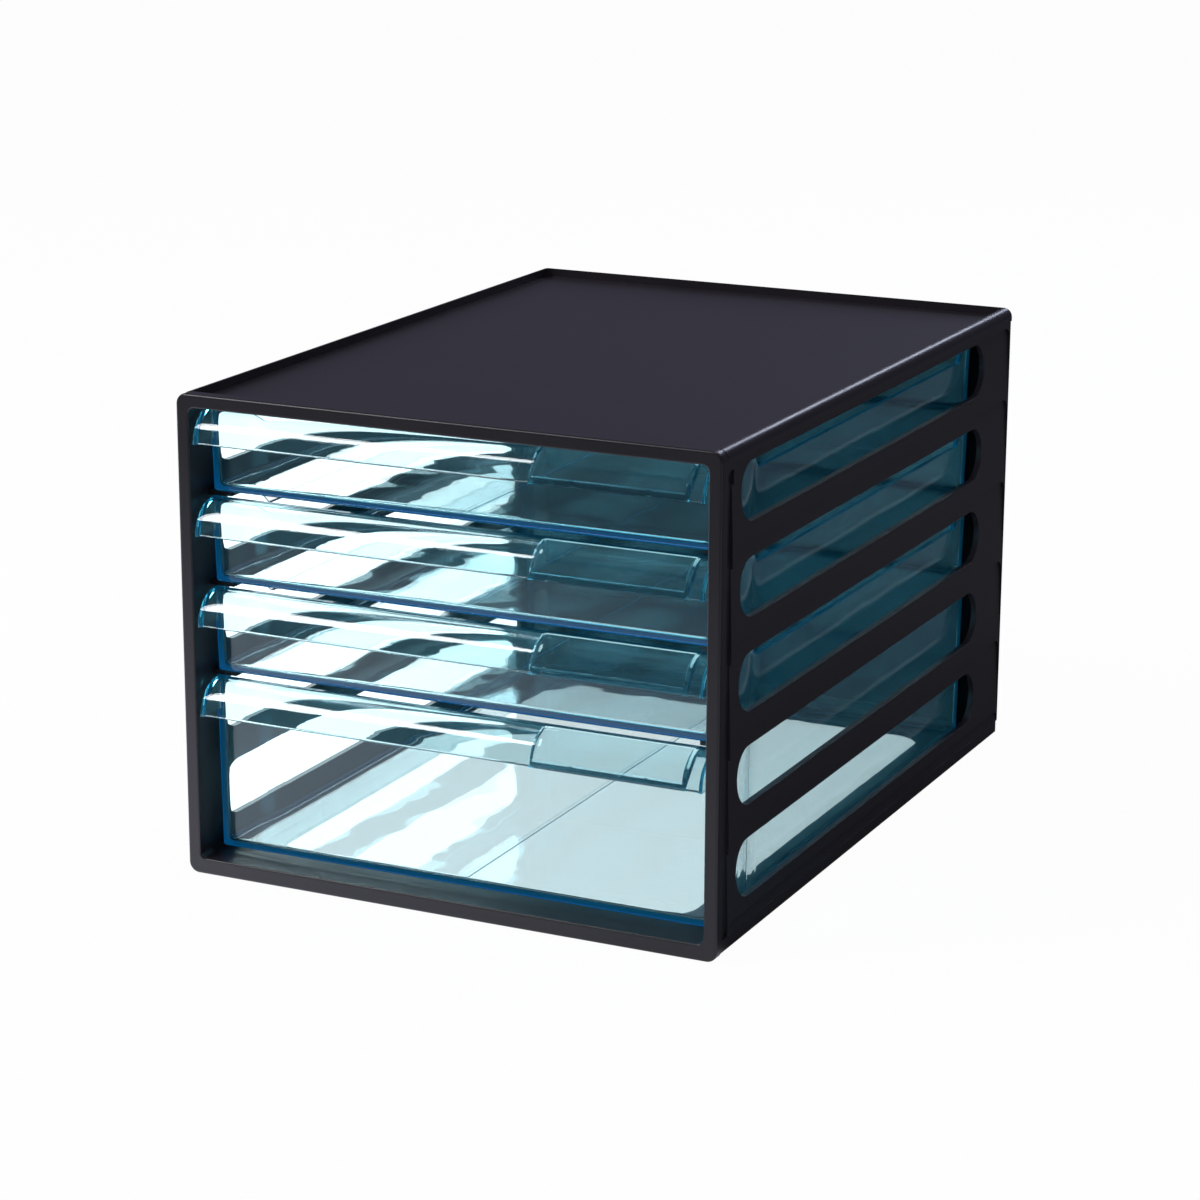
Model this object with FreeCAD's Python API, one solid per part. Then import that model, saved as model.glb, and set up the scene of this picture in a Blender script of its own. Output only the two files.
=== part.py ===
"""Letter tray stack: an injection-moulded case, open at the front, with four sliding drawers.

Millimetres. +Z is up and the front faces -Y. The origin is the middle of the underside. A "depth" is
measured backwards from the plane of the front, and at() turns it into a y coordinate.
"""
import FreeCAD
import Part
import os
from math import cos, radians, sin, sqrt

Vector = FreeCAD.Vector

# Overall size. The height follows from the storeys and the rails of the front frame.
WIDTH = 264.0
DEPTH = 364.0

# Storeys: five levels, 0 at the bottom. The deep drawer fills levels 0 and 1.
FIRST_LEVEL = 9.0  # underside of the lowest drawer
PITCH = 42.0
STOREYS = 5
STACK_GAP = 2.7  # from a drawer's top to the underside of the one above
CEILING_GAP = 1.4  # from the top drawer to the top plate

# Front frame
STILE = 6.3
TOP_RAIL = 6.3
BOTTOM_RAIL = 7.5
FRAME_DEPTH = 6.0
FRAME_CORNER = 5.0
OPENING_CORNER = 3.0
FRAME_ROUND = 1.2  # all round the front's outer edge
FRAME_BREAK = 0.8  # all round the opening's front edge
SLEEVE_WALL = 1.7
SLEEVE_DEPTH = 4.0  # behind the frame, inside the side panels
LEDGE_DEPTH = 18.0  # behind the frame, on the base plate, under the drawer's front
FIT = 0.3  # between moulded pieces that push into one another

# Side panels
SIDE_INSET = 1.0  # the panels' outer faces stand this far inside the frame's
REAR_INSET = 0.5  # and their rear faces this far inside the top panel's
SIDE_WALL = 3.3
SIDE_CORNER = 2.5
RETURN_WIDTH = 13.6  # the flange that turns in behind the back sheet
RETURN_WALL = 2.4
COVE_STEP = 0.4
COVE_WIDTH = 7.0
COVE_DEPTH = 2.0
COVE_END_ROUND = 5.0
PAD_DEPTH = 1.2  # the wedge pockets between the storeys
PAD_CORNER = 7.0
PAD_RISE = 1.0  # the top of a pocket, above the level it ends at
PAD_LAND = 1.0  # flat strip between the cove and the pockets
PAD_TOP_LAND = 3.3  # flat strip under the top panel
SLOT_RISE = 10.2  # lower edge of a slot above its level
SLOT_TOP_DROP = 3.1  # a slot ends this far below the top of a shallow drawer
SLOT_FRONT = 23.8
SLOT_REAR_MARGIN = 39.0
SLOT_BREAK = 0.25
TONGUE_WALL = 1.3

# Rails, stops and running clearances
RAIL_REACH = 12.4
RAIL_WALL = 2.0
RAIL_FRONT = 18.0
RUN_GAP = 0.3  # under a drawer
STOP_GAP = 0.5  # behind a drawer
STOP_WALL = 3.0
STOP_RISE = 4.0
NIB_LENGTH = 4.5
NIB_DROP = 3.3  # below the drawer's top edge
NIB_BITE = 1.4  # overlap with the drawer's raised rear corner
NIB_SPACE = 10.0  # behind the place where the drawer's side walls begin to drop

# Top panel
TOP_PLATE = 2.2
RIM_WIDTH = 4.6
RIM_ROUND = 4.4
TRAY_CORNER = 3.5
LOCATING_RIB = 1.6
TOP_RIB_DROP = 3.5

# Base panel and feet
BASE_CLEARANCE = 3.0  # from the table to the base plate
BASE_PLATE = 2.0
BASE_INSET = 0.8
BASE_FLANGE_WALL = 2.0
BASE_FLANGE_DROP = 1.1  # the flange's top, below the lowest drawer
BASE_SKIRT = 0.5  # the flange reaches this far below the base plate
BASE_MARGIN_SIDE = 28.0
BASE_MARGIN_FRONT = 29.0
BASE_MARGIN_REAR = 40.0
BASE_OPENING_CORNER = 16.0
RUNNER_INSET = 11.0
RUNNER_WIDTH = 8.0
RUNNER_FRONT = 26.0
FOOT_RADIUS = 6.5
FOOT_SINK = 0.8
FOOT_ROUND = 0.7
FOOT_INSET_SIDE = 14.0
FOOT_INSET_FRONT = 20.0
FOOT_INSET_REAR = 18.0

# Back sheet
BACK_WALL = 2.2
BACK_SIDE_GAP = 1.0

# Drawers
DRAWER_WALL = 2.3
DRAWER_FLOOR = 2.1
DRAWER_SIDE_GAP = 0.9  # to the opening's side, at the drawer's top
DRAFT = 1.3  # the sides lean in by this much towards the floor
SIDE_STEP = 2.0  # the long rear part is narrower by this much on each side
REAR_SPACE = 37.6  # from the drawer's back to the rear of the case
SHOULDER_END = 47.5  # depth at which the side walls begin to drop
NARROW_START = 47.0
NARROW_END = 60.0
NARROW_ROUND = 80.0  # makes one smooth S of the sides' step inwards
LOW_DROP = 12.1  # the long low stretch of a shallow drawer's side walls, below its top
DEEP_DROP = 4.0  # the same on the deep drawer, just enough to pass under the nib
REAR_LAND = 3.3  # the full-height strip that the side walls keep at the drawer's rear
DIP_ROUND = 3.0
TUB_ROUND = 1.6
FLOOR_FILLET = 2.4
FLOOR_RIB_WIDTH = 2.0
FLOOR_RIB_HEIGHT = 0.6
NOTCH = 1.0

# Pull lip, a quarter of a tube in front of each drawer, and the label holder in it
LIP_RADIUS = 15.1
LIP_WALL = 2.0
LIP_SETBACK = 0.7  # the lip's front edge, behind the plane of the front
LIP_END_GAP = 0.8  # each end of the lip, inside the drawer's side
LIP_LIFT = 4.0  # degrees between the lip's rounded edge and the level of its centre
WEB_WALL = 1.9
LABEL_LEFT = 43.3
LABEL_WIDTH = 71.3
LABEL_FLAT_ANGLE = 39.0  # degrees either side of the lip's middle that the flat panel cuts off
LABEL_WALL = 1.5
CARD_SLOT_WALL = 0.8
CARD_SLOT_RISE = 3.2
CARD_NIB = 1.5

# Worked out from the sizes above
HALF_WIDTH = WIDTH / 2
OPENING_HALF = HALF_WIDTH - STILE
SHALLOW = PITCH - STACK_GAP
SLOT_HEIGHT = SHALLOW - SLOT_RISE - SLOT_TOP_DROP
DEEP = 2 * PITCH - STACK_GAP
CEILING = FIRST_LEVEL + STOREYS * PITCH - STACK_GAP + CEILING_GAP
HEIGHT = CEILING + TOP_RAIL
SIDE_OUT = HALF_WIDTH - SIDE_INSET
SIDE_IN = OPENING_HALF + SLEEVE_WALL + FIT
SIDE_REAR = DEPTH - REAR_INSET
BACK_REAR = SIDE_REAR - RETURN_WALL
BACK_FRONT = BACK_REAR - BACK_WALL
BASE_TOP = BASE_CLEARANCE + BASE_PLATE
FLANGE_TOP = FIRST_LEVEL - BASE_FLANGE_DROP
BASE_OUT = HALF_WIDTH - BASE_INSET
RIB_OUT = SIDE_IN - FIT
DRAWER_FRONT = LIP_SETBACK + LIP_RADIUS
DRAWER_REAR = DEPTH - REAR_SPACE
DRAWER_HALF = OPENING_HALF - DRAWER_SIDE_GAP
LIP_HALF = DRAWER_HALF - LIP_END_GAP
NIB_FRONT = SHOULDER_END + NIB_SPACE
NIB_REAR = NIB_FRONT + NIB_LENGTH


def level(storey):
    """Height of the underside of a drawer that starts at this storey."""
    return FIRST_LEVEL + storey * PITCH


# Each drawer's name, the storey it starts at and its height
DRAWERS = [
    ("bottom_drawer", 0, DEEP),
    ("third_drawer", 2, SHALLOW),
    ("second_drawer", 3, SHALLOW),
    ("top_drawer", 4, SHALLOW),
]
RAILED_STOREYS = [storey for name, storey, height in DRAWERS if storey > 0]


def at(depth):
    """The y coordinate of a depth behind the plane of the front."""
    return depth - DEPTH / 2


def block(x0, x1, depth0, depth1, z0, z1):
    return Part.makeBox(x1 - x0, depth1 - depth0, z1 - z0, Vector(x0, at(depth0), z0))


def rounded(solid, radius, wanted):
    """The solid with every edge that wanted() chooses rounded off."""
    return solid.makeFillet(radius, [edge for edge in solid.Edges if wanted(edge)])


def along(edge, axis):
    """Whether an edge runs straight along the axis "x", "y" or "z"."""
    run = edge.Vertexes[-1].Point - edge.Vertexes[0].Point
    return run.Length > 0.01 and abs(abs(getattr(run, axis)) - run.Length) < 1e-6


def lies_at(edge, axis, place):
    """Whether the whole of an edge has one coordinate."""
    box = edge.BoundBox
    low, high = getattr(box, axis.upper() + "Min"), getattr(box, axis.upper() + "Max")
    return abs(low - place) < 0.01 and abs(high - place) < 0.01


def prism_along_x(outline, x0, x1):
    """A solid from x0 to x1 whose outline is given as (depth, z) points."""
    points = [Vector(x0, at(depth), z) for depth, z in outline]
    return Part.Face(Part.makePolygon(points + points[:1])).extrude(Vector(x1 - x0, 0, 0))


def prism_along_y(outline, depth0, depth1):
    """A solid from depth0 to depth1 whose outline is given as (x, z) points."""
    points = [Vector(x, at(depth0), z) for x, z in outline]
    return Part.Face(Part.makePolygon(points + points[:1])).extrude(Vector(0, depth1 - depth0, 0))


def fused(solids):
    """One solid out of several that overlap or meet."""
    return solids[0].multiFuse(solids[1:]).removeSplitter() if len(solids) > 1 else solids[0]


def mirrored(solid):
    return solid.mirror(Vector(0, 0, 0), Vector(1, 0, 0))


# ---------------------------------------------------------------- case


def front_opening(depth0, depth1):
    """The hole through the front frame, with its rounded corners."""
    hole = block(-OPENING_HALF, OPENING_HALF, depth0, depth1, BOTTOM_RAIL, CEILING)
    return rounded(hole, OPENING_CORNER, lambda edge: along(edge, "y"))


def front_frame():
    """The surround: a thick bordered face, a thin sleeve at the sides and a ledge at the bottom."""
    face = block(-HALF_WIDTH, HALF_WIDTH, 0, FRAME_DEPTH, 0, HEIGHT)
    face = rounded(face, FRAME_CORNER, lambda edge: along(edge, "y"))
    face = rounded(face, FRAME_ROUND, lambda edge: lies_at(edge, "y", at(0)))
    face = face.cut(front_opening(-1, FRAME_DEPTH + 1))
    on_front = lambda edge: lies_at(edge, "y", at(0)) and edge.BoundBox.XMax < OPENING_HALF + 0.1 \
        and edge.BoundBox.XMin > -OPENING_HALF - 0.1 and edge.BoundBox.ZMin > BOTTOM_RAIL - 0.1 \
        and edge.BoundBox.ZMax < CEILING + 0.1
    face = rounded(face, FRAME_BREAK, on_front)
    out = OPENING_HALF + SLEEVE_WALL
    sleeve = block(-out, out, FRAME_DEPTH, FRAME_DEPTH + SLEEVE_DEPTH, BASE_TOP, CEILING)
    ledge = block(-out, out, FRAME_DEPTH, FRAME_DEPTH + LEDGE_DEPTH, BASE_TOP, BOTTOM_RAIL)
    neck = sleeve.fuse(ledge).cut(front_opening(0, FRAME_DEPTH + LEDGE_DEPTH + 1))
    return fused([face, neck])


def side_wall():
    """The right-hand wall with the flange that turns in at the rear."""
    wall = block(SIDE_IN, SIDE_OUT, FRAME_DEPTH, SIDE_REAR, FLANGE_TOP, CEILING)
    flange = block(SIDE_OUT - RETURN_WIDTH, SIDE_OUT, BACK_REAR, SIDE_REAR, FLANGE_TOP, CEILING)
    wall = fused([wall, flange])
    rear_corner = lambda edge: lies_at(edge, "x", SIDE_OUT) and lies_at(edge, "y", at(SIDE_REAR))
    return rounded(wall, SIDE_CORNER, rear_corner)


def cove_strip():
    """The upright strip just behind the front frame, hollowed by a shallow cove."""
    crest = HALF_WIDTH - COVE_STEP
    rear = FRAME_DEPTH + COVE_WIDTH
    strip = block(SIDE_IN, crest, FRAME_DEPTH, rear, FLANGE_TOP, CEILING)
    radius = (COVE_WIDTH ** 2 + COVE_DEPTH ** 2) / (2 * COVE_DEPTH)
    centre = Vector(crest - COVE_DEPTH + radius, at(rear), FLANGE_TOP - 1)
    cove = Part.makeCylinder(radius, CEILING - FLANGE_TOP, centre)
    window = block(SIDE_IN, HALF_WIDTH + 1, FRAME_DEPTH, rear + 1, 0, CEILING - PAD_TOP_LAND)
    round_end = lambda edge: along(edge, "x") and edge.CenterOfMass.z > CEILING / 2
    window = rounded(window, COVE_END_ROUND, lambda edge: round_end(edge)
                     and lies_at(edge, "y", at(FRAME_DEPTH)))
    return strip, cove.common(window)


def wedge_pocket(bottom, top):
    """What one of the shallow pockets takes off the side: deepest under its top edge, nothing below."""
    front = FRAME_DEPTH + COVE_WIDTH + PAD_LAND
    rear = SIDE_REAR - SIDE_CORNER
    outline = [(SIDE_OUT - PAD_DEPTH, top), (SIDE_OUT + 1, top), (SIDE_OUT + 1, bottom),
               (SIDE_OUT, bottom)]
    wedge = prism_along_y(outline, front, rear)
    window = block(SIDE_IN, SIDE_OUT + 2, front, rear, bottom - PAD_CORNER, top)
    upper = lambda edge: along(edge, "x") and edge.CenterOfMass.z > top - 0.01
    return wedge.common(rounded(window, min(PAD_CORNER, (top - bottom) * 0.9), upper))


def slot(storey):
    """A long slot with full round ends."""
    radius = SLOT_HEIGHT / 2
    middle = level(storey) + SLOT_RISE + radius
    front = SLOT_FRONT + radius
    rear = DEPTH - SLOT_REAR_MARGIN - radius
    width = SIDE_OUT - SIDE_IN + 4
    ends = [Part.makeCylinder(radius, width, Vector(SIDE_IN - 2, at(depth), middle), Vector(1, 0, 0))
            for depth in (front, rear)]
    return fused([block(SIDE_IN - 2, SIDE_IN - 2 + width, front, rear, middle - radius,
                        middle + radius)] + ends)


def outer_rim(storey):
    """Chooses the edges round a slot's mouth on the outer face."""
    low = level(storey) + SLOT_RISE
    front, rear = at(SLOT_FRONT), at(DEPTH - SLOT_REAR_MARGIN)

    def wanted(edge):
        box = edge.BoundBox
        inside = box.YMin > front - 0.1 and box.YMax < rear + 0.1
        meets = abs(box.ZMin - low) < 0.01 or abs(box.ZMax - low - SLOT_HEIGHT) < 0.01
        return inside and meets and box.XMin > SIDE_IN + SIDE_WALL / 2
    return wanted


def rail(storey):
    """The ledge that one side of a drawer slides on, with the stop behind the drawer."""
    inner = SIDE_IN - RAIL_REACH
    top = level(storey) - RUN_GAP
    stop = DRAWER_REAR + STOP_GAP
    ledge = block(inner, SIDE_IN, RAIL_FRONT, stop + STOP_WALL, top - RAIL_WALL, top)
    return [ledge, block(inner, SIDE_IN, stop, stop + STOP_WALL, top, top + STOP_RISE)]


def nib(storey, height):
    """The small stop that catches the raised rear corner of a drawer pulled out."""
    top = level(storey) + height
    inner = DRAWER_HALF - SIDE_STEP - NIB_BITE
    return block(inner, SIDE_IN, NIB_FRONT, NIB_REAR, top - NIB_DROP,
                 top + STACK_GAP - RUN_GAP - RAIL_WALL)


def side_panel():
    """The right-hand panel: cove, wedge pockets, slots, rails and nibs."""
    strip, cove = cove_strip()
    panel = fused([side_wall(), strip]).cut(cove)
    tops = [level(storey) + PAD_RISE for storey in range(1, STOREYS)] + [CEILING - PAD_TOP_LAND]
    bottoms = [level(0) + PAD_RISE + PAD_TOP_LAND] + tops[:-1]
    for bottom, top in zip(bottoms, tops):
        panel = panel.cut(wedge_pocket(bottom, top))
    panel = panel.cut(wedge_pocket(FLANGE_TOP, bottoms[0] - 0.2))
    for storey in range(STOREYS):
        panel = rounded(panel.cut(slot(storey)), SLOT_BREAK, outer_rim(storey))
    tongue = block(SIDE_IN, SIDE_IN + TONGUE_WALL, FRAME_DEPTH, BACK_FRONT, BASE_TOP, FLANGE_TOP + 1)
    inside = [tongue]
    for storey in RAILED_STOREYS:
        inside += rail(storey)
    inside += [nib(storey, height) for name, storey, height in DRAWERS]
    return fused([panel] + inside)


def top_panel():
    """The top plate with its rounded rim, which makes a shallow tray of the top of the case."""
    panel = block(-HALF_WIDTH, HALF_WIDTH, FRAME_DEPTH, DEPTH, CEILING, HEIGHT)
    panel = rounded(panel, FRAME_CORNER, lambda edge: along(edge, "z") and lies_at(edge, "y", at(DEPTH)))
    outer_top = lambda edge: lies_at(edge, "z", HEIGHT) and not lies_at(edge, "y", at(FRAME_DEPTH))
    panel = rounded(panel, RIM_ROUND, outer_top)
    inner = HALF_WIDTH - RIM_WIDTH
    tray = block(-inner, inner, 0, DEPTH - RIM_WIDTH, CEILING + TOP_PLATE, HEIGHT + 1)
    tray = rounded(tray, TRAY_CORNER, lambda edge: along(edge, "z") and edge.CenterOfMass.y > 0)
    panel = panel.cut(tray)
    ribs = [block(RIB_OUT - LOCATING_RIB, RIB_OUT, NIB_REAR + NIB_LENGTH, BACK_FRONT - 8,
                  CEILING - TOP_RIB_DROP, CEILING)]
    ribs.append(mirrored(ribs[0]))
    ribs.append(block(-BASE_MARGIN_SIDE * 3, BASE_MARGIN_SIDE * 3, BACK_FRONT - FIT - LOCATING_RIB,
                      BACK_FRONT - FIT, CEILING - TOP_RIB_DROP, CEILING))
    return fused([panel] + ribs)


def base_panel():
    """The bottom plate with its large opening, its flange and the runners of the deep drawer."""
    rear = DEPTH - BASE_INSET
    bottom = BASE_CLEARANCE - BASE_SKIRT
    panel = block(-BASE_OUT, BASE_OUT, FRAME_DEPTH, rear, bottom, FLANGE_TOP)
    panel = rounded(panel, FRAME_CORNER, lambda edge: along(edge, "z") and edge.CenterOfMass.y > 0)
    inner = BASE_OUT - BASE_FLANGE_WALL
    for low, high in ((bottom - 1, BASE_CLEARANCE), (BASE_TOP, FLANGE_TOP + 1)):
        hollow = block(-inner, inner, 0, rear - BASE_FLANGE_WALL, low, high)
        panel = panel.cut(rounded(hollow, FRAME_CORNER - BASE_FLANGE_WALL,
                                  lambda edge: along(edge, "z") and edge.CenterOfMass.y > 0))
    half = HALF_WIDTH - BASE_MARGIN_SIDE
    opening = block(-half, half, BASE_MARGIN_FRONT, DEPTH - BASE_MARGIN_REAR, 0, FLANGE_TOP + 1)
    panel = panel.cut(rounded(opening, BASE_OPENING_CORNER, lambda edge: along(edge, "z")))
    runner_out = HALF_WIDTH - RUNNER_INSET
    stop = DRAWER_REAR + STOP_GAP
    top = level(0) - RUN_GAP
    extras = [
        block(runner_out - RUNNER_WIDTH, runner_out, RUNNER_FRONT, stop + STOP_WALL, BASE_TOP, top),
        block(runner_out - RUNNER_WIDTH, runner_out, stop, stop + STOP_WALL, top, top + STOP_RISE),
        block(RIB_OUT - LOCATING_RIB, RIB_OUT, RUNNER_FRONT, BACK_FRONT - 8, BASE_TOP, FIRST_LEVEL),
    ]
    extras += [mirrored(extra) for extra in extras]
    extras.append(block(-BASE_MARGIN_SIDE * 3, BASE_MARGIN_SIDE * 3, BACK_FRONT - FIT - LOCATING_RIB,
                        BACK_FRONT - FIT, BASE_TOP, FIRST_LEVEL))
    panel = fused([panel] + extras)
    for x, depth in foot_places():
        panel = panel.cut(Part.makeCylinder(FOOT_RADIUS, FOOT_SINK,
                                            Vector(x, at(depth), BASE_CLEARANCE)))
    return panel


def back_panel():
    """The plain sheet that closes the rear, held against the side panels' flanges."""
    half = SIDE_IN - BACK_SIDE_GAP
    return block(-half, half, BACK_FRONT, BACK_REAR, BASE_TOP, CEILING)


def foot_places():
    x = HALF_WIDTH - FOOT_INSET_SIDE
    return [(side * x, depth) for side in (-1, 1)
            for depth in (FOOT_INSET_FRONT, DEPTH - FOOT_INSET_REAR)]


def foot(x, depth):
    """A rubber disc let into the base plate."""
    disc = Part.makeCylinder(FOOT_RADIUS, BASE_CLEARANCE + FOOT_SINK, Vector(x, at(depth), 0))
    return rounded(disc, FOOT_ROUND, lambda edge: lies_at(edge, "z", 0))


# ---------------------------------------------------------------- drawers


def flat_faced(sections):
    """The solid whose flat faces join each polygon of points to the next one."""
    flat = lambda points: Part.Face(Part.makePolygon(points + points[:1]))
    faces = [flat(sections[0]), flat(sections[-1])]
    for near, far in zip(sections, sections[1:]):
        for here in range(len(near)):
            after = (here + 1) % len(near)
            faces.append(flat([near[here], near[after], far[after], far[here]]))
    return Part.makeSolid(Part.makeShell(faces)).removeSplitter()


def tub(storey, height, wall, floor, overshoot):
    """The drawer's outer form or, moved in by a wall and a floor, the hollow inside it."""
    low = level(storey) + floor
    top = level(storey) + height
    high = top + overshoot
    sections = []
    for depth, step in ((DRAWER_FRONT + wall, 0), (NARROW_START, 0), (NARROW_END, SIDE_STEP),
                        (DRAWER_REAR - wall, SIDE_STEP)):
        half = [DRAWER_HALF - step - wall - DRAFT * (top - z) / height for z in (low, high)]
        corners = [(-half[0], low), (half[0], low), (half[1], high), (-half[1], high)]
        sections.append([Vector(x, at(depth), z) for x, z in corners])
    ends = (at(DRAWER_FRONT + wall), at(DRAWER_REAR - wall))
    outside = lambda edge: lies_at(edge, "z", low) or (
        not lies_at(edge, "z", high) and any(lies_at(edge, "y", end) for end in ends))
    at_step = lambda edge: edge.BoundBox.ZLength > height / 2 and any(
        lies_at(edge, "y", at(depth)) for depth in (NARROW_START, NARROW_END))
    smooth = rounded(flat_faced(sections), NARROW_ROUND, at_step)
    return rounded(smooth, TUB_ROUND if wall == 0 else FLOOR_FILLET, outside)


def side_dip(storey, height):
    """What makes the long low stretch in both side walls, with a slope at each end."""
    top = level(storey) + height
    drop = LOW_DROP if height < DEEP else DEEP_DROP
    front, rear = SHOULDER_END, DRAWER_REAR - REAR_LAND
    outline = [(front - 5, top + 5), (front + drop, top - drop), (rear - drop, top - drop),
               (rear + 5, top + 5)]
    dip = prism_along_x(outline, -HALF_WIDTH, HALF_WIDTH)
    return rounded(dip, DIP_ROUND, lambda edge: lies_at(edge, "z", top - drop)
                   and along(edge, "x"))


def lip_point(radius, degrees, top):
    """A (depth, z) point of the lip: 0 degrees is straight ahead of its centre and 90 above it."""
    return (DRAWER_FRONT - radius * cos(radians(degrees)),
            top - LIP_RADIUS + radius * sin(radians(degrees)))


def arc_face(corners, x):
    """A face across x whose outline joins (depth, z) points: each item is a point, or a pair of the
    point an arc passes through and the point where it ends."""
    place = lambda point: Vector(x, at(point[0]), point[1])
    edges = []
    here = corners[0]
    for item in corners[1:] + corners[:1]:
        if isinstance(item[0], tuple):
            edges.append(Part.Arc(place(here), place(item[0]), place(item[1])).toShape())
            here = item[1]
        else:
            edges.append(Part.LineSegment(place(here), place(item)).toShape())
            here = item
    return Part.Face(Part.Wire(edges))


def lip_shell(x0, x1, top):
    """The quarter tube between two places across the drawer, with its rounded lower edge."""
    inner, outer = LIP_RADIUS - LIP_WALL, LIP_RADIUS
    middle = LIP_RADIUS - LIP_WALL / 2
    drop = LIP_LIFT - 180 / 3.1416 * LIP_WALL / 2 / middle
    face = arc_face([
        lip_point(inner, 90, top),
        lip_point(outer, 90, top),
        (lip_point(outer, 45, top), lip_point(outer, LIP_LIFT, top)),
        (lip_point(middle, drop, top), lip_point(inner, LIP_LIFT, top)),
        (lip_point(inner, 45, top), lip_point(inner, 89.999, top)),
    ], x0)
    return face.extrude(Vector(x1 - x0, 0, 0))


def quarter_disc(radius, x0, x1, top):
    face = arc_face([
        (DRAWER_FRONT, top - LIP_RADIUS),
        lip_point(radius, 90, top),
        (lip_point(radius, 45, top), lip_point(radius, 0, top)),
    ], x0)
    return face.extrude(Vector(x1 - x0, 0, 0))


def diagonal_band(nearest, farthest, x0, x1, top):
    """Everything between two planes at 45 degrees, this far from the lip's centre line."""
    reach = 2 * LIP_RADIUS
    outline = []
    for distance, side in ((nearest, -reach), (nearest, reach), (farthest, reach), (farthest, -reach)):
        outline.append((DRAWER_FRONT - (distance + side) / sqrt(2),
                        top - LIP_RADIUS + (distance - side) / sqrt(2)))
    return prism_along_x(outline, x0, x1)


def label_holder(top):
    """The flat panel let into the lip, its two crescent cheeks and the card slot at its foot."""
    left, right = LABEL_LEFT, LABEL_LEFT + LABEL_WIDTH
    face = LIP_RADIUS * cos(radians(LABEL_FLAT_ANGLE))
    back = face - LIP_WALL
    flat = quarter_disc(LIP_RADIUS, left, right, top).common(
        diagonal_band(back, face, left, right, top))
    cheeks = [quarter_disc(LIP_RADIUS, x, x + LABEL_WALL, top).common(
        diagonal_band(back, LIP_RADIUS + 1, x, x + LABEL_WALL, top))
        for x in (left - LABEL_WALL, right)]
    low = lip_point(LIP_RADIUS, 0, top)[1]
    foot_zone = block(left, right, 0, DRAWER_FRONT, low, low + CARD_SLOT_RISE)
    keeper = quarter_disc(LIP_RADIUS, left, right, top).cut(
        quarter_disc(LIP_RADIUS - CARD_SLOT_WALL, left - 1, right + 1, top)).common(foot_zone)
    nib_zones = [block(x, x + CARD_NIB, 0, DRAWER_FRONT, low, low + CARD_SLOT_RISE)
                 for x in (left + LABEL_WIDTH / 4, right - LABEL_WIDTH / 4)]
    nibs = [quarter_disc(LIP_RADIUS, left, right, top).common(zone).common(
        diagonal_band(back, LIP_RADIUS + 1, left, right, top)) for zone in nib_zones]
    return [flat, keeper] + cheeks + nibs


def drawer(storey, height):
    """One moulding: tub, pull lip with its end webs, and label holder."""
    top = level(storey) + height
    body = tub(storey, height, 0, 0, 0).cut(tub(storey, height, DRAWER_WALL, DRAWER_FLOOR, 5))
    body = body.cut(side_dip(storey, height))
    floor = level(storey) + DRAWER_FLOOR
    rib = block(-FLOOR_RIB_WIDTH / 2, FLOOR_RIB_WIDTH / 2, DRAWER_FRONT + DRAWER_WALL / 2,
                DRAWER_REAR - DRAWER_WALL / 2, floor - 0.5, floor + FLOOR_RIB_HEIGHT)
    right = LABEL_LEFT + LABEL_WIDTH
    pieces = [body, rib, lip_shell(-LIP_HALF, LABEL_LEFT, top), lip_shell(right, LIP_HALF, top)]
    pieces += [quarter_disc(LIP_RADIUS, x, x + WEB_WALL, top)
               for x in (-LIP_HALF, LIP_HALF - WEB_WALL)]
    pieces += label_holder(top)
    whole = fused(pieces)
    notch = prism_along_y([(-NOTCH, level(storey) - 1), (NOTCH, level(storey) - 1),
                           (0, level(storey) + NOTCH)], DRAWER_FRONT - 1,
                          DRAWER_FRONT + DRAWER_WALL)
    return whole.cut(notch)


# ---------------------------------------------------------------- output


def build():
    right = side_panel()
    nodes = {
        "front_frame": front_frame(),
        "top_panel": top_panel(),
        "base_panel": base_panel(),
        "right_side_panel": right,
        "left_side_panel": mirrored(right),
        "back_panel": back_panel(),
    }
    for name, storey, height in DRAWERS:
        nodes[name] = drawer(storey, height)
    names = ["front_left_foot", "rear_left_foot", "front_right_foot", "rear_right_foot"]
    for name, (x, depth) in zip(names, foot_places()):
        nodes[name] = foot(x, depth)
    return nodes


os.makedirs("parts", exist_ok=True)
for name, shape in build().items():
    solids = shape.Solids
    print(name, "solids", len(solids), "valid", shape.isValid(), "volume", round(shape.Volume, 1))
    (solids[0] if len(solids) == 1 else shape).exportStep("parts/" + name + ".step")
rise = DRAWER_REAR - REAR_LAND - NIB_DROP
print("case height", HEIGHT, "drawer travel to the nib", round(rise - NIB_REAR, 2))
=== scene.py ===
# %% [markdown]
# # A letter tray stack with four clear drawers
#
# The object is a desk unit: a charcoal plastic case, open at the front, with four see-through drawers
# that slide on rails. Its shapes come ready made from the CAD model, so nothing is reshaped here. What
# is left to do is what the eye reads as material: how the charcoal plastic shines, how the clear plastic
# bends and tints the light, what the table and the lamps are, and where the camera stands.

# %% Load the model
import math

import bpy
from mathutils import Matrix, Vector

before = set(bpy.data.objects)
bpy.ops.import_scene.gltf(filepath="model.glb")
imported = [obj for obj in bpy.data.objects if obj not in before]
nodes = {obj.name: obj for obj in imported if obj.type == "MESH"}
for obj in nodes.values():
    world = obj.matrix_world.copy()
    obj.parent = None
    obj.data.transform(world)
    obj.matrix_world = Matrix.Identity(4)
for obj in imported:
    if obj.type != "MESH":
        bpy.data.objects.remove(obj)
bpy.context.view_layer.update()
print("pieces:", ", ".join(sorted(nodes)))

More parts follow.
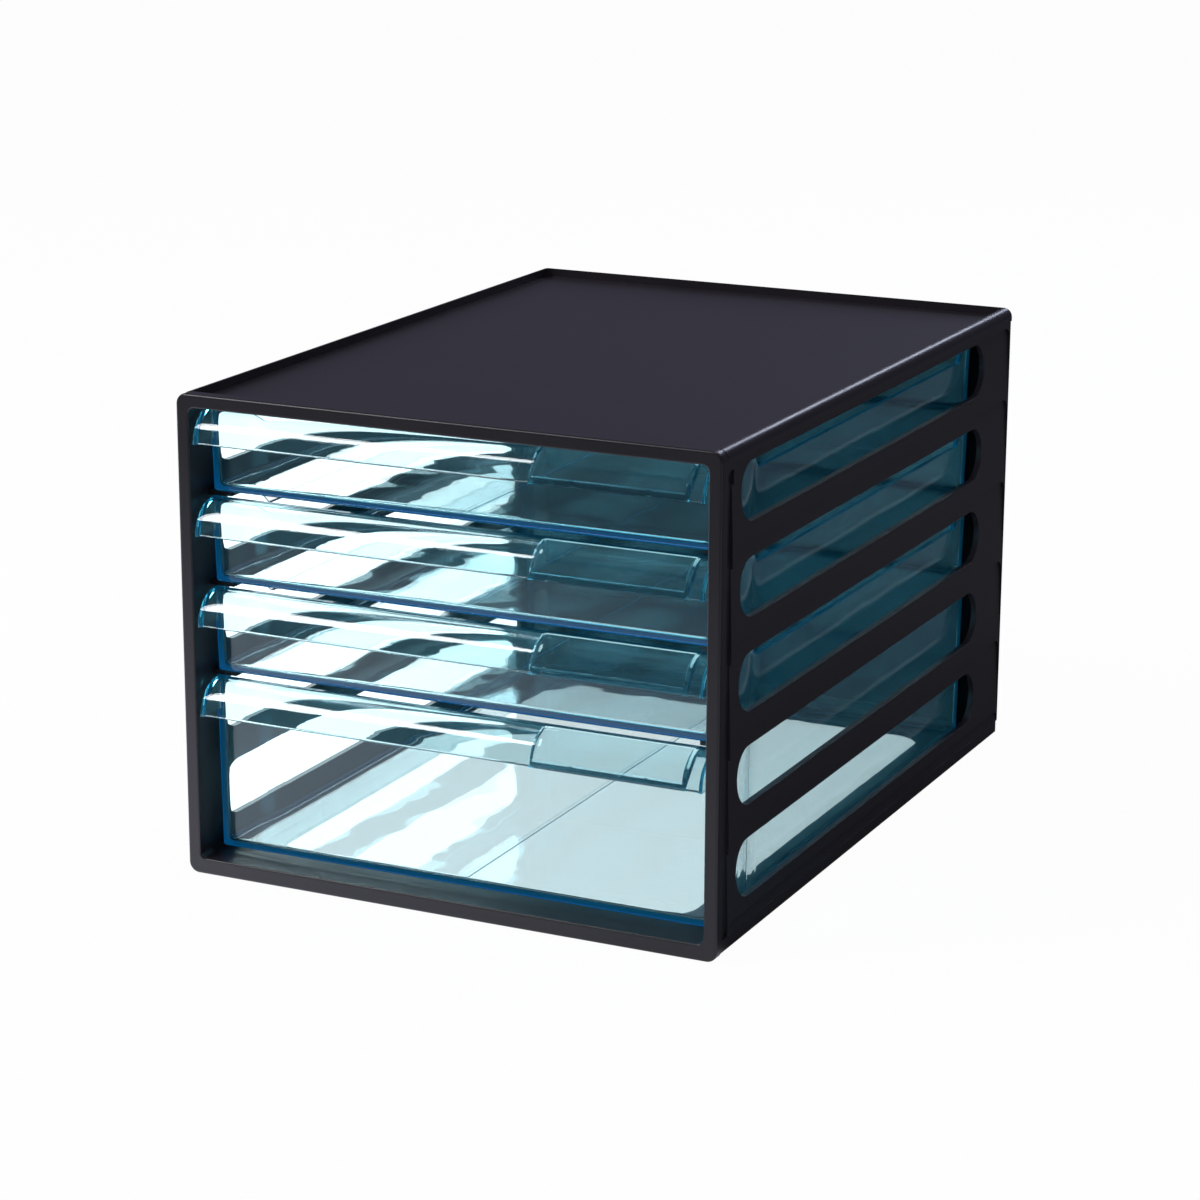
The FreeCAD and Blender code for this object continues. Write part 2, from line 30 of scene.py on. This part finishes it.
# %% [markdown]
# ## The camera
#
# A unit like this is best shown from a little above and to the right, with a long lens from about 1.7 m
# away, so that its sides hardly converge. We say it the way a photographer would: how far round, how
# high, how far away, and the point that the camera looks at. Three axes follow from that: "back" points
# from the object to the camera, and "right" and "up" span the picture. They are turned by a fifth of a
# degree, because a hand-levelled camera is never quite level.

# %% Place the camera
AROUND = math.radians(25.604)
ABOVE = math.radians(15.368)
TILT = math.radians(0.22)
DISTANCE = 1.66698
LOOK_AT = Vector((-0.01084, 0.0, 0.09907))
LENS = 103.7


def camera_axes(around, above, tilt):
    """The camera's right, up and back directions."""
    back = Vector((math.sin(around) * math.cos(above),
                   -math.cos(around) * math.cos(above),
                   math.sin(above)))
    right = Vector((0, 0, 1)).cross(back).normalized()
    up = back.cross(right)
    return (right * math.cos(tilt) + up * math.sin(tilt),
            up * math.cos(tilt) - right * math.sin(tilt), back)


right, up, back = camera_axes(AROUND, ABOVE, TILT)
lens = bpy.data.cameras.new("camera")
lens.lens = LENS
camera = bpy.data.objects.new("camera", lens)
bpy.context.scene.collection.objects.link(camera)
turn = Matrix((right, up, back)).transposed()
camera.matrix_world = Matrix.Translation(LOOK_AT + back * DISTANCE) @ turn.to_4x4()
bpy.context.scene.camera = camera
print("camera at", [round(value, 3) for value in LOOK_AT + back * DISTANCE])

# %% [markdown]
# ## Colours and nodes
#
# Colours are easiest to pick as they look on the screen, as hex values, but a renderer counts light, so
# one function turns them to linear values. A second adds a node: its kind, its settings and what feeds
# its inputs. An input is named with _ for a space, or i0, i1 and so on where several inputs have the
# same name. The rest are the few steps that every material here is made of: a sum, a ramp from one
# number to another, a mix of two numbers, colours or shaders, a cloud of noise and a bump. With them,
# each material below reads like a recipe.

# %% Helpers


def colour(hex_text):
    """A linear colour from sRGB hex such as "2a272c"."""
    values = [int(hex_text[place:place + 2], 16) / 255 for place in (0, 2, 4)]
    return [value / 12.92 if value <= 0.04045 else ((value + 0.055) / 1.055) ** 2.4
            for value in values] + [1.0]


def add(tree, kind, settings=None, **inputs):
    """Adds a node. settings are its properties; inputs are values, or sockets to link from."""
    node = tree.nodes.new(kind)
    for name, value in (settings or {}).items():
        setattr(node, name, value)
    for name, value in inputs.items():
        socket = node.inputs[int(name[1:]) if name[1:].isdigit() else name.replace("_", " ")]
        if isinstance(value, bpy.types.NodeSocket):
            tree.links.new(value, socket)
        else:
            socket.default_value = value
    return node


def calc(tree, operation, first, second):
    """One step of arithmetic. A difference is never below 0."""
    return add(tree, "ShaderNodeMath", {"operation": operation, "use_clamp": operation == "SUBTRACT"},
               i0=first, i1=second).outputs[0]


def ramp(tree, value, start, end, low=0.0, high=1.0, shape="LINEAR"):
    """Goes from low to high while the value goes from start to end, and stays there."""
    return add(tree, "ShaderNodeMapRange", {"interpolation_type": shape}, i0=value, i1=start, i2=end,
               i3=low, i4=high).outputs[0]


def mix_numbers(tree, share, first, second):
    return add(tree, "ShaderNodeMix", i0=share, i2=first, i3=second).outputs[0]


def mix_colours(tree, share, first, second):
    return add(tree, "ShaderNodeMix", {"data_type": "RGBA"}, i0=share, i6=first, i7=second).outputs[2]


def mix_shaders(tree, share, first, second):
    return add(tree, "ShaderNodeMixShader", i0=share, i1=first, i2=second).outputs[0]


def cloud(tree, size, detail=2.0, roughness=0.5):
    """Noise in the piece's own space, whose lumps are this many metres apart."""
    place = add(tree, "ShaderNodeTexCoord").outputs["Object"]
    return add(tree, "ShaderNodeTexNoise", Vector=place, Scale=1 / size, Detail=detail,
               Roughness=roughness).outputs["Fac"]


def bumped(tree, height, strength, depth):
    """The surface's normal, bent by a height of at most this depth in metres."""
    return add(tree, "ShaderNodeBump", Height=height, Strength=strength,
               Distance=depth).outputs["Normal"]


def blank_material(name):
    """A material with an empty node tree, and that tree."""
    material = bpy.data.materials.new(name)
    material.use_nodes = True
    material.node_tree.nodes.clear()
    return material, material.node_tree


def wear(material, names):
    for name in names:
        nodes[name].material_slots[0].material = material
    print(len(names), "pieces wear", material.name)


print("charcoal in linear light:", [round(value, 4) for value in colour("2a272c")[:3]])

# %% [markdown]
# ## Charcoal polystyrene
#
# The case is high-impact polystyrene, injection moulded in a tool whose walls were spark eroded to a
# fine satin. It is nearly black with a breath of violet. The satin spreads every lamp into a broad soft
# sheen, brightest where we look along the surface, which an IOR of 1.5 and a roughness near 0.35 give.
# The grain is about 0.3 mm on the real piece, too fine to show from here, so it is drawn at 0.6 mm. A
# slow cloud in the tone and the roughness stands for the way the melt flowed and cooled.
#
# The sheet that closes the rear is cut from extruded polystyrene of the same colour. Nobody polishes the
# tool for a sheet, so it is duller than the mouldings: a high roughness and little specular.

# %% The case's plastics
GRAIN = 0.0006  # metres
GRAIN_DEPTH = 0.0002
FLOW = 0.055


def charcoal(name, dark, light, grain_strength, roughness, shine):
    """Nearly black plastic. The roughness is a number, or the two that the flow goes between."""
    material, tree = blank_material(name)
    grain = bumped(tree, cloud(tree, GRAIN), grain_strength, GRAIN_DEPTH)
    flow = cloud(tree, FLOW, detail=3.0)
    satin = ramp(tree, flow, 0.0, 1.0, *roughness) if isinstance(roughness, tuple) else roughness
    tone = mix_colours(tree, flow, colour(dark), colour(light))
    body = add(tree, "ShaderNodeBsdfPrincipled", Base_Color=tone, Roughness=satin, IOR=1.5,
               Specular_IOR_Level=shine, Normal=grain)
    add(tree, "ShaderNodeOutputMaterial", Surface=body.outputs["BSDF"])
    return material


wear(charcoal("satin_charcoal_polystyrene", "1f1c21", "26222a", 0.05, (0.30, 0.38), 0.5),
     ["front_frame", "top_panel", "base_panel", "left_side_panel", "right_side_panel"])
wear(charcoal("matt_charcoal_sheet", "19171b", "1f1d22", 0.04, 0.7, 0.12), ["back_panel"])

# %% [markdown]
# ## Clear cyan polystyrene
#
# The drawers are crystal-clear polystyrene with a drop of blue-green dye, moulded against polished
# steel. Two things make it look like plastic and not like coloured air. The dye is in its depth, so a
# wall seen flat is hardly tinted, and a rim seen along its length is deep blue: that is an absorption in
# the volume, in so much per metre for red, green and blue. And a moulded sheet is never quite flat: it
# sinks and bows as it cools, by a few tenths of a millimetre over some centimetres, which bends every
# reflection in it into a curve. A slow bump gives that.
#
# A clear sheet also gathers light over its whole face and lets it out at its rims, which is why they
# shine blue even where nothing bright is behind them. Tracing that would take thousands of bounces, so a
# faint blue painted glow in the depth, an emission where there is no lamp, stands for it: it adds next
# to nothing to a thin wall and a lot to a rim.
# Light that casts the shadows goes straight through, dimmed a little, for the same reason.

# %% The drawers' plastic
DYE_PER_METRE = (62.0, 13.0, 6.0)  # how strongly red, green and blue are taken up
# painted glow: the drawers' plastic emits this blue light in its depth, standing in for the light a wall
# takes in and lets out at its rims
PAINTED_GLOW = 1.8  # glow per metre of depth, in the colour below
PAINTED_GLOW_COLOUR = (0.02, 0.55, 1.0, 1)
SHADOW_TINT = (0.72, 0.94, 0.97, 1)
BOW = 0.11  # metres from one hollow to the next
BOW_DEPTH = 0.0008  # metres


def clear_plastic():
    material, tree = blank_material("clear_cyan_polystyrene")
    bow = bumped(tree, cloud(tree, BOW, detail=2.5, roughness=0.45), 1.0, BOW_DEPTH)
    body = add(tree, "ShaderNodeBsdfPrincipled", Base_Color=(1, 1, 1, 1), Roughness=0.01, IOR=1.59,
               Transmission_Weight=0.999, Normal=bow)
    shadow = add(tree, "ShaderNodeLightPath").outputs["Is Shadow Ray"]
    straight = add(tree, "ShaderNodeBsdfTransparent", Color=SHADOW_TINT)
    surface = mix_shaders(tree, shadow, body.outputs["BSDF"], straight.outputs["BSDF"])
    most = max(DYE_PER_METRE)
    dye = add(tree, "ShaderNodeVolumeAbsorption", Density=most,
              Color=[1 - share / most for share in DYE_PER_METRE] + [1])
    painted_glow = add(tree, "ShaderNodeEmission", Color=PAINTED_GLOW_COLOUR, Strength=PAINTED_GLOW)
    depth = add(tree, "ShaderNodeAddShader", i0=dye.outputs["Volume"], i1=painted_glow.outputs[0])
    add(tree, "ShaderNodeOutputMaterial", Surface=surface, Volume=depth.outputs[0])
    return material


wear(clear_plastic(), ["top_drawer", "second_drawer", "third_drawer", "bottom_drawer"])

# %% [markdown]
# ## Rubber feet
#
# Four discs of black nitrile rubber are let into the base. Rubber is pressed in a dull mould, so it has
# a rough, almost chalky surface that hardly shines.

# %% The feet's rubber


def rubber():
    material, tree = blank_material("black_nitrile_rubber")
    grain = cloud(tree, GRAIN)
    chalk = mix_colours(tree, grain, colour("171618"), colour("222124"))
    body = add(tree, "ShaderNodeBsdfPrincipled", Base_Color=chalk, Roughness=0.8,
               Normal=bumped(tree, grain, 0.25, GRAIN_DEPTH))
    add(tree, "ShaderNodeOutputMaterial", Surface=body.outputs["BSDF"])
    return material


wear(rubber(), [name for name in nodes if name.endswith("_foot")])

# %% [markdown]
# ## Who is looking
#
# A studio shot of clear plastic is lit from behind: the sweep beyond the object is bright, and the rest
# of the room is kept dark, so that the clear walls show no grey haze. Several kinds of light path meet
# the sweep and the room, and the Light Path node tells them apart. The camera, and paths that only went
# through the drawers, see the white page. Paths that went into a drawer and were mirrored there see the
# bright far side and a dim room elsewhere, with a painted blue tint where they are dim. Where such a
# path is mirrored again and again, the sweep and the room give it a painted blue glow, which stands for
# the light that a wall pipes from all round to its rims. Paths mirrored on the outside of the satin case
# see the dim room.

# %% Tell the light paths apart
# painted tint: the blue given to the glows that mirror images inside a drawer see, on top of the dye's
# real absorption in the volume
PAINTED_INSIDE_TINT = (0.5, 0.88, 1.0, 1)  # what is mirrored inside a drawer has crossed its dye
# painted rim glow: how strongly the sweep and the room glow for paths mirrored again inside a drawer,
# standing in for light that a wall pipes to its rims
PAINTED_RIM_GLOW = 1.3  # how strong the light is that a wall pipes to its rims


def lookers(tree):
    """Sockets that are 1 for one kind of path: the page's own view, the view through a drawer, any
    mirror image, one seen inside a drawer, and one mirrored again inside a drawer, which gets the
    painted rim glow."""
    path = add(tree, "ShaderNodeLightPath").outputs
    mirrored = calc(tree, "GREATER_THAN", path["Glossy Depth"], 0.5)
    again = calc(tree, "GREATER_THAN", path["Glossy Depth"], 1.5)
    entered = calc(tree, "GREATER_THAN", path["Transmission Depth"], 0.5)
    glassy = calc(tree, "MAXIMUM", path["Is Glossy Ray"], path["Is Transmission Ray"])
    direct = calc(tree, "SUBTRACT", path["Is Transmission Ray"], mirrored)
    image = calc(tree, "MULTIPLY", glassy, mirrored)
    inside = calc(tree, "MULTIPLY", image, entered)
    return {"page": calc(tree, "MAXIMUM", path["Is Camera Ray"], direct), "direct": direct,
            "image": image, "inside": inside, "piped": calc(tree, "MULTIPLY", inside, again)}


print("light piped to the rims: strength", PAINTED_RIM_GLOW)

# %% [markdown]
# ## The sweep
#
# The unit stands on white sweep paper. Where the page is seen it glows by itself, with a little of the
# lit paper left in it so that it keeps the object's shadow. Seen through the drawers it glows a little
# more strongly than white, and on the far side, left of the unit, much more: a painted glow, which is
# what makes the slots there burn out. In a mirror image on the case the paper glows just in front, a
# painted reflection that lightens the bottom rail, and elsewhere it is painted dim. Inside a drawer its
# mirror image is a painted blue haze in front and on the far side, and painted dark blue elsewhere. From
# below the paper is clear, so that the feet can be looked at.

# %% The white sweep
PAPER_SIZE = 14.0
PAPER_DROP = 0.0002  # the paper lies this far under the feet
PAGE_GLOW = 0.97  # the share of the page that glows; the rest is lit paper
FAR_SIDE = (-0.11, -0.15)  # X, in metres, across which the far side's light comes up
# painted glow: the paper glows above white only for paths through the drawers, most of all on the far
# side
SEEN_THROUGH = (1.156, 2.2)  # strength through the drawers, near and far
FRONT_EDGE = (-0.16, -0.18)  # Y, across which the bright strip in front begins
FRONT_FADE = (-0.17, -0.9)  # and over which it fades
LEFTWARD = (0.1, -0.3)  # X, over which the strip gains its full strength
RIGHT_SHARE = 0.35  # what the strip has at its right end
# painted reflection: the bright strip in front glows only in mirror images, where it lightens the case's
# bottom rail
PAINTED_FRONT_GLARE = 2.3
# painted haze: a blue glow of the paper, seen only in mirror images inside a drawer
PAINTED_HAZE = 0.4
# painted shade and tint: in mirror images the paper is this dark grey, and dark blue inside a drawer,
# not the white it is for the camera
DIM_PAPER = (0.11, 0.11, 0.125, 1)
DIM_PAPER_INSIDE = (0.01, 0.025, 0.035, 1)


def emission(tree, tint, strength):
    return add(tree, "ShaderNodeEmission", Color=tint, Strength=strength).outputs[0]


def diffuse(tree, tint):
    return add(tree, "ShaderNodeBsdfDiffuse", Color=tint).outputs[0]


def page_paper(tree, look, x):
    """The paper as the page shows it, and through the drawers."""
    through = ramp(tree, x, *FAR_SIDE, *SEEN_THROUGH)
    glow = emission(tree, (1, 1, 1, 1), mix_numbers(tree, look["direct"], 1.0, through))
    share = calc(tree, "MULTIPLY", look["page"], PAGE_GLOW)
    return mix_shaders(tree, share, diffuse(tree, colour("f4f4f4")), glow)


def mirrored_paper(tree, look, x, y):
    """The paper as the case and the drawers mirror it."""
    strip = calc(tree, "MULTIPLY", ramp(tree, y, *FRONT_FADE, 1.0, 0.0, "SMOOTHSTEP"),
                 ramp(tree, y, *FRONT_EDGE))
    front = calc(tree, "MULTIPLY", strip, ramp(tree, x, *LEFTWARD, RIGHT_SHARE, 1.0))
    dim = diffuse(tree, mix_colours(tree, look["inside"], DIM_PAPER, DIM_PAPER_INSIDE))
    haze = emission(tree, PAINTED_INSIDE_TINT, PAINTED_HAZE)
    in_front = mix_shaders(tree, look["inside"], emission(tree, colour("e4e8f4"), PAINTED_FRONT_GLARE), haze)
    near = mix_shaders(tree, front, dim, in_front)
    far = calc(tree, "MULTIPLY", ramp(tree, x, *FAR_SIDE), look["inside"])
    return mix_shaders(tree, look["piped"], mix_shaders(tree, far, near, haze),
                       emission(tree, PAINTED_INSIDE_TINT, PAINTED_RIM_GLOW))


def white_sweep():
    material, tree = blank_material("white_sweep_paper")
    look = lookers(tree)
    place = add(tree, "ShaderNodeTexCoord").outputs["Object"]
    x, y, _ = add(tree, "ShaderNodeSeparateXYZ", Vector=place).outputs
    paper = mix_shaders(tree, look["image"], page_paper(tree, look, x),
                        mirrored_paper(tree, look, x, y))
    below = add(tree, "ShaderNodeNewGeometry").outputs["Backfacing"]
    clear = add(tree, "ShaderNodeBsdfTransparent", Color=(1, 1, 1, 1)).outputs[0]
    add(tree, "ShaderNodeOutputMaterial", Surface=mix_shaders(tree, below, paper, clear))
    return material


bpy.ops.object.select_all(action="DESELECT")
bpy.ops.mesh.primitive_plane_add(size=PAPER_SIZE, location=(0, 0, -PAPER_DROP))
table = bpy.context.object
table.name = "sweep"
table.data.materials.append(white_sweep())
print("sweep:", [round(side, 2) for side in table.dimensions])

# %% [markdown]
# ## The room
#
# Beyond the paper is the white page for the camera and for light through the drawers, and soft grey
# light for matt surfaces. What the plastics mirror is the dim studio, with one large pale wall behind on
# the left, which lies softly on the top of the case. Inside the clear drawers the same wall is the
# bright end of the sweep, which draws the white bands across the drawers' floors, and the room to the
# right is kept dark. There the room's light is painted blue where it is dim, and for paths mirrored
# again the whole room glows with the painted rim glow. Each pair below is what the wall's light goes
# from and to, as we turn from the room to its middle.

# %% The world
scene = bpy.context.scene
PALE_WALL = Vector((-0.42, 0.87, 0.27)).normalized()
PALE_EDGES = (0.5, 1.0)  # how far towards the wall, as a cosine
PALE_LIGHT = (0.05, 0.17)
WHITE_EDGES = (0.45, 0.85)
WHITE_LIGHT = (0.18, 3.1)
DARK_EDGES = (-0.05, 0.3)  # how far to the right, as a cosine
DARK_SHARE = (1.0, 0.12)
# painted tint: the light that mirror images inside a drawer see is painted from the blue below to near
# white between these strengths, on top of the dye's real absorption in the volume
TINTED = (0.35, 2.0)  # light in a drawer turns from the dye's colour to white between these
PAINTED_BLUE_TINT = (0.25, 0.72, 1.0, 1)
WHITE_TINT = (0.95, 0.985, 1.0, 1)
SOFT_LIGHT = 0.5


def background(tree, tint, strength):
    return add(tree, "ShaderNodeBackground", Color=tint, Strength=strength).outputs[0]


def studio_room():
    world = bpy.data.worlds.new("studio")
    world.use_nodes = True
    tree = world.node_tree
    tree.nodes.clear()
    look = lookers(tree)
    place = add(tree, "ShaderNodeTexCoord").outputs["Generated"]
    towards = add(tree, "ShaderNodeVectorMath", {"operation": "DOT_PRODUCT"}, i0=place,
                  i1=PALE_WALL).outputs["Value"]
    rightward = add(tree, "ShaderNodeSeparateXYZ", Vector=place).outputs["X"]
    pale = ramp(tree, towards, *PALE_EDGES, *PALE_LIGHT, "SMOOTHSTEP")
    wall = ramp(tree, towards, *WHITE_EDGES, *WHITE_LIGHT, "SMOOTHSTEP")
    lit = calc(tree, "MULTIPLY", wall, ramp(tree, rightward, *DARK_EDGES, *DARK_SHARE, "SMOOTHSTEP"))
    in_drawer = mix_numbers(tree, look["piped"], lit, PAINTED_RIM_GLOW)
    strength = mix_numbers(tree, look["inside"], pale, in_drawer)
    drawn = mix_colours(tree, ramp(tree, wall, *TINTED), PAINTED_BLUE_TINT, WHITE_TINT)
    tint = mix_colours(tree, look["inside"], colour("cfcff5"), drawn)
    unseen = mix_shaders(tree, look["image"], background(tree, colour("c4c6cc"), SOFT_LIGHT),
                         background(tree, tint, strength))
    room = mix_shaders(tree, look["page"], unseen, background(tree, (1, 1, 1, 1), 1.0))
    add(tree, "ShaderNodeOutputWorld", Surface=room)
    return world


scene.world = studio_room()
print("world:", scene.world.name)

# %% [markdown]
# ## Softboxes
#
# Three softboxes light the unit. The main one hangs high and far to the left in front: each rolled lip
# mirrors it as a white band near its left end, and the flat label holders at the right miss it, so they
# stay clear. A narrow one stands high behind, so that the case itself shades its own side: it draws the
# bright line along the rounded right rim. A weak one overhead fills in. Each is given by where it
# hangs, its size and its power, and it is aimed at the middle of the unit.

# %% Hang the softboxes
MIDDLE = Vector((0, 0, 0.11))


def softbox(name, place, width, height, watts, tint="ffffff"):
    """A rectangular lamp that faces the middle of the unit."""
    light = bpy.data.lights.new(name, "AREA")
    light.shape = "RECTANGLE"
    light.size = width
    light.size_y = height
    light.energy = watts
    light.color = colour(tint)[:3]
    lamp = bpy.data.objects.new(name, light)
    scene.collection.objects.link(lamp)
    lamp.location = place
    lamp.rotation_euler = (MIDDLE - Vector(place)).to_track_quat("-Z", "Y").to_euler()
    return lamp


lamps = [
    softbox("front_left", (-1.3, -1.1, 1.65), 0.8, 0.9, 24),
    softbox("behind", (0.08, 1.75, 1.15), 0.3, 0.5, 5, "dfe6ff"),
    softbox("overhead", (0.3, 0.0, 1.9), 0.9, 0.9, 6),
]
print("softboxes:", ", ".join(lamp.name for lamp in lamps))

# %% [markdown]
# ## Light bounces
#
# A view through four drawers passes some thirty surfaces, so the light must be allowed that many turns.

# %% Set the bounces
BOUNCES = 32
scene.cycles.max_bounces = BOUNCES
scene.cycles.transmission_bounces = BOUNCES
scene.cycles.transparent_max_bounces = BOUNCES
scene.cycles.glossy_bounces = 8
scene.view_settings.view_transform = "Standard"
print("bounces:", BOUNCES)
